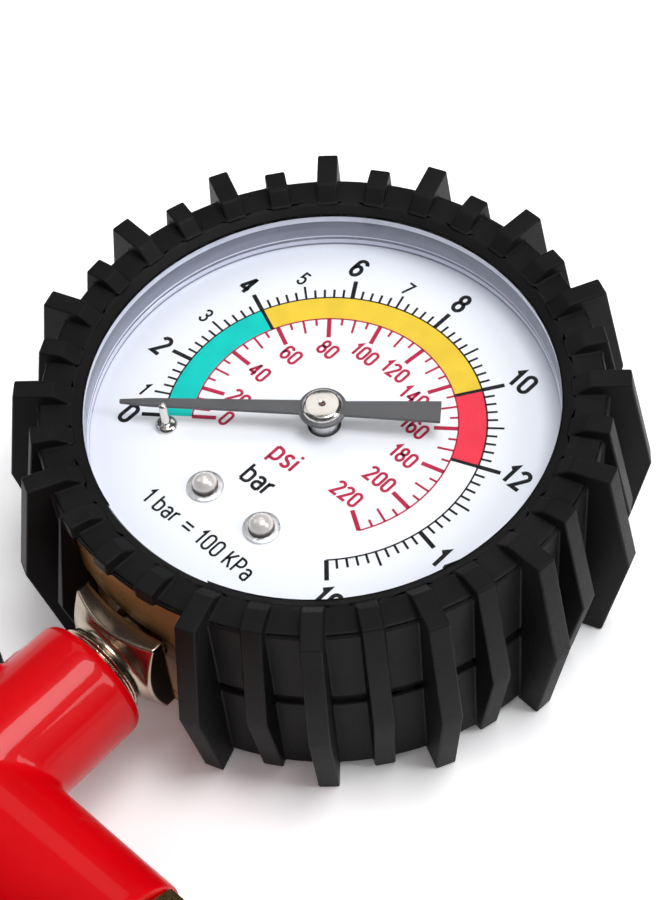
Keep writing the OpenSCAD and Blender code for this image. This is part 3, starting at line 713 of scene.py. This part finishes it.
def makeLens(look, ring):
    top, under, w = look["top"], look["top"] - look["thick"], look["window"]
    gap, fillet, wallEdge, rim = look["gap"], look["fillet"], w + look["wall"], look["edge"]
    disc = turned("lensPiece", [(0, under), (w - gap, under, fillet), (w - gap, top, fillet), (0, top)],
                  dialCentre, lensFinish(look), segments=160, smooth=30)
    inner = [(w, under, 0)]
    for height, thick in ring["beads"]:
        inner += [(w, height + thick, 0), (w - thick, height, thick * 0.5), (w, height - thick, 0)]
    step, footTop = ring["foot"]
    inner += [(w - step, footTop, 0), (w - step, gap, 0)]
    outer = [(wallEdge, gap, fillet), (wallEdge, under, fillet),
             (rim, under, fillet), (rim, top, look["rimFillet"])]
    wall = turned("lensRing", [(w, top, 0)] + inner + outer, dialCentre, smokyFinish(ring),
                  segments=180, smooth=40)
    # faces on the edge, on the beads and on a line at the foot take the painted highlight; the rest of the foot
    # takes the darker band
    paintedHighlight, groove = 1, 2
    wall.data.materials.append(finish("lensPaintedHighlight", paintedHighlightLook))
    wall.data.materials.append(finish("lensGroove", grooveLook))
    line, lineHalf = ring["footLine"]
    for face in wall.data.polygons:
        middle = face.center - dialCentre
        if hypot(middle.x, middle.y) > (w + ring["shine"]) * mm:
            continue
        height = middle.z / mm
        if height > under - ring["shine"] or any(abs(height - h) < t for h, t in ring["beads"]):
            face.material_index = paintedHighlight
        elif height < ring["beads"][0][0]:
            inGroove = height > ring["footLineLow"] and abs(height - line) > lineHalf
            face.material_index = groove if inGroove else paintedHighlight
    for piece in (disc, wall):
        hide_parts("lens")


makeLens(lensLook, ringLook)
print("lens made")

# nickel fitting between the gauge and the gun
nickelLook = {"colour": (0.46, 0.38, 0.3), "colour2": (0.36, 0.29, 0.22), "patch": 3.5, "grain": 0.5,
              "roughness": (0.17, 0.27), "depth": 0.006, "bump": 0.12, "metallic": 1, "stretch": (1, 5, 1)}
dress(finish("nickelPlate", nickelLook), "gauge_socket")
castEdges("gauge_socket", grid=0.19, rounds=3)

# gun: glossy red body, black lever, brass fittings
redLook = {"colour": (0.68, 0.0, 0.004), "colour2": (0.57, 0.0, 0.003), "patch": 14, "grain": 1.6,
           "roughness": (0.3, 0.4), "depth": 0.012, "bump": 0.06, "specular": 0.1, "coat": 0.26,
           "coatRoughness": 0.05}
dress(finish("redPaint", redLook), "gun_body")
castEdges("gun_body", grid=0.5, rounds=6)
leverLook = {"colour": (0.02, 0.02, 0.021), "colour2": (0.03, 0.03, 0.032), "patch": 6, "grain": 0.5,
             "roughness": (0.35, 0.5), "depth": 0.02, "bump": 0.25}
dress(finish("leverPowderCoat", leverLook), "lever")
softEdges("lever", width=0.6, segments=3)
clipLook = dict(leverLook, roughness=(0.25, 0.35), metallic=0.7)
dress(finish("blackenedSteel", clipLook), "pivot_clip")
softEdges("pivot_clip", width=0.06)
sealLook = dict(rubberLook, roughness=(0.3, 0.4))
dress(finish("sealRubber", sealLook), "stem_ring", "valve_disc", "cap_ring")
fittingLook = dict(brassLook, colour=(0.8, 0.6, 0.3), colour2=(0.7, 0.5, 0.22), stretch=(5, 1, 1))
fittings = ("stem_guide", "valve_cap", "inlet_bush", "hose_adapter")
dress(finish("turnedBrass", fittingLook), *fittings)
for name in fittings:
    softEdges(name, width=0.25)
print("gun dressed")

# floor, lamps and world
stageLook = {"floor": (0.62, 0.62, 0.625), "paler": 1.02, "floorPatch": 60, "floorRoughness": 0.8,
             "floorGloss": 0.1, "floorSeen": 1.92, "floorSize": 6, "lift": 0.03,
             "light": 0.46, "lightColour": (0.97, 0.98, 1.0),
             # what gloss sees of the room, by the sine of the height above the horizon
             "room": [(0.0, (1.0, 1.0, 1.0)), (0.16, (1.0, 1.0, 1.0)), (0.24, (0.04, 0.036, 0.034)),
                      (0.7, (0.05, 0.046, 0.042)), (0.92, (0.08, 0.075, 0.07)), (1.0, (0.9, 0.88, 0.86))]}
lampLooks = [
    {"name": "keyLamp", "place": (0.64, 0.4, 0.55), "size": 0.24, "sizeY": 0.42, "power": 2.2},
    {"name": "fillLamp", "place": (-0.6, -0.1, 0.6), "size": 0.4, "sizeY": 0.5, "power": 0.5},
    {"name": "topLamp", "place": (0.16, 0.22, 0.88), "size": 0.35, "sizeY": 0.35, "power": 3.9},
    # a pale card that the polished cap mirrors
    {"name": "cardLamp", "place": (-0.11, 0.17, 0.24), "size": 0.14, "sizeY": 0.11, "power": 0.052,
     "colour": (1.0, 0.95, 0.9)},
]


def makeFloor(look):
    half = look["floorSize"] / 2
    floor = meshPiece("floor", [(-half, -half, 0), (half, -half, 0), (half, half, 0), (-half, half, 0)],
                      [(0, 1, 2, 3)], None, None)
    material, tree, shader, place = startMaterial("floorPaper")
    patches = noiseOf(tree, place, look["floorPatch"], 2)
    paler = tuple(v * look["paler"] for v in look["floor"])
    shader.inputs["Roughness"].default_value = look["floorRoughness"]
    shader.inputs["Specular IOR Level"].default_value = look["floorGloss"]
    rays = tree.nodes.new("ShaderNodeLightPath")
    seen = largerOf(tree, rays.outputs["Is Camera Ray"], rays.outputs["Is Transmission Ray"])
    seen = largerOf(tree, seen, rays.outputs["Is Glossy Ray"])
    # seen directly the paper is brighter than the light it sends on to the object
    paper = tree.nodes.new("ShaderNodeMix")
    paper.data_type = "RGBA"
    tree.links.new(seen, paper.inputs[0])
    tree.links.new(blendColours(tree, patches, look["floor"], paler), paper.inputs[mixFirst])
    paper.inputs[mixSecond].default_value = (*[v * look["floorSeen"] for v in paler], 1)
    tree.links.new(paper.outputs[mixColour], shader.inputs["Base Color"])
    glow = tree.nodes.new("ShaderNodeMath")
    glow.operation = "MULTIPLY"
    glow.inputs[1].default_value = look["lift"]
    tree.links.new(seen, glow.inputs[0])
    shader.inputs["Emission Color"].default_value = (1, 1, 1, 1)
    tree.links.new(glow.outputs[0], shader.inputs["Emission Strength"])
    floor.data.materials.append(material)


def makeLamp(look):
    data = bpy.data.lights.new(look["name"], "AREA")
    data.shape = "RECTANGLE"
    data.size = look["size"]
    data.size_y = look["sizeY"]
    data.energy = look["power"]
    data.color = look.get("colour", (1, 1, 1))
    lamp = bpy.data.objects.new(look["name"], data)
    lamp.location = look["place"]
    aim = dialCentre - lamp.location
    lamp.rotation_euler = aim.to_track_quat("-Z", "Y").to_euler()
    bpy.context.scene.collection.objects.link(lamp)


def makeWorld(look):
    # plain even light; the camera sees white, and gloss sees a room that is pale low down and dark above
    world = bpy.data.worlds.new("studio")
    world.use_nodes = True
    tree = world.node_tree
    out = next(n for n in tree.nodes if n.type == "OUTPUT_WORLD")
    even = tree.nodes["Background"]
    even.inputs[0].default_value = (*look["lightColour"], 1)
    even.inputs[1].default_value = look["light"]
    room = tree.nodes.new("ShaderNodeBackground")
    place = tree.nodes.new("ShaderNodeTexCoord")
    parts = tree.nodes.new("ShaderNodeSeparateXYZ")
    ramp = tree.nodes.new("ShaderNodeValToRGB")
    for position, _ in look["room"][1:-1]:
        ramp.color_ramp.elements.new(position)
    for element, (position, colour) in zip(ramp.color_ramp.elements, look["room"]):
        element.position = position
        element.color = (*colour, 1)
    tree.links.new(place.outputs["Generated"], parts.inputs[0])
    tree.links.new(parts.outputs["Z"], ramp.inputs[0])
    rays = tree.nodes.new("ShaderNodeLightPath")
    seen = rays.outputs["Is Camera Ray"]
    backdrop = tree.nodes.new("ShaderNodeMix")
    backdrop.data_type = "RGBA"
    tree.links.new(seen, backdrop.inputs[0])
    tree.links.new(ramp.outputs[0], backdrop.inputs[mixFirst])
    backdrop.inputs[mixSecond].default_value = (1, 1, 1, 1)
    tree.links.new(backdrop.outputs[mixColour], room.inputs[0])
    for kind in ("Is Glossy Ray", "Is Transmission Ray"):
        seen = largerOf(tree, seen, rays.outputs[kind])
    mix = tree.nodes.new("ShaderNodeMixShader")
    tree.links.new(seen, mix.inputs[0])
    tree.links.new(even.outputs[0], mix.inputs[1])
    tree.links.new(room.outputs[0], mix.inputs[2])
    tree.links.new(mix.outputs[0], out.inputs[0])
    bpy.context.scene.world = world


makeFloor(stageLook)
for lampLook in lampLooks:
    makeLamp(lampLook)
makeWorld(stageLook)
bpy.context.scene.view_settings.view_transform = "Standard"
print("stage set")
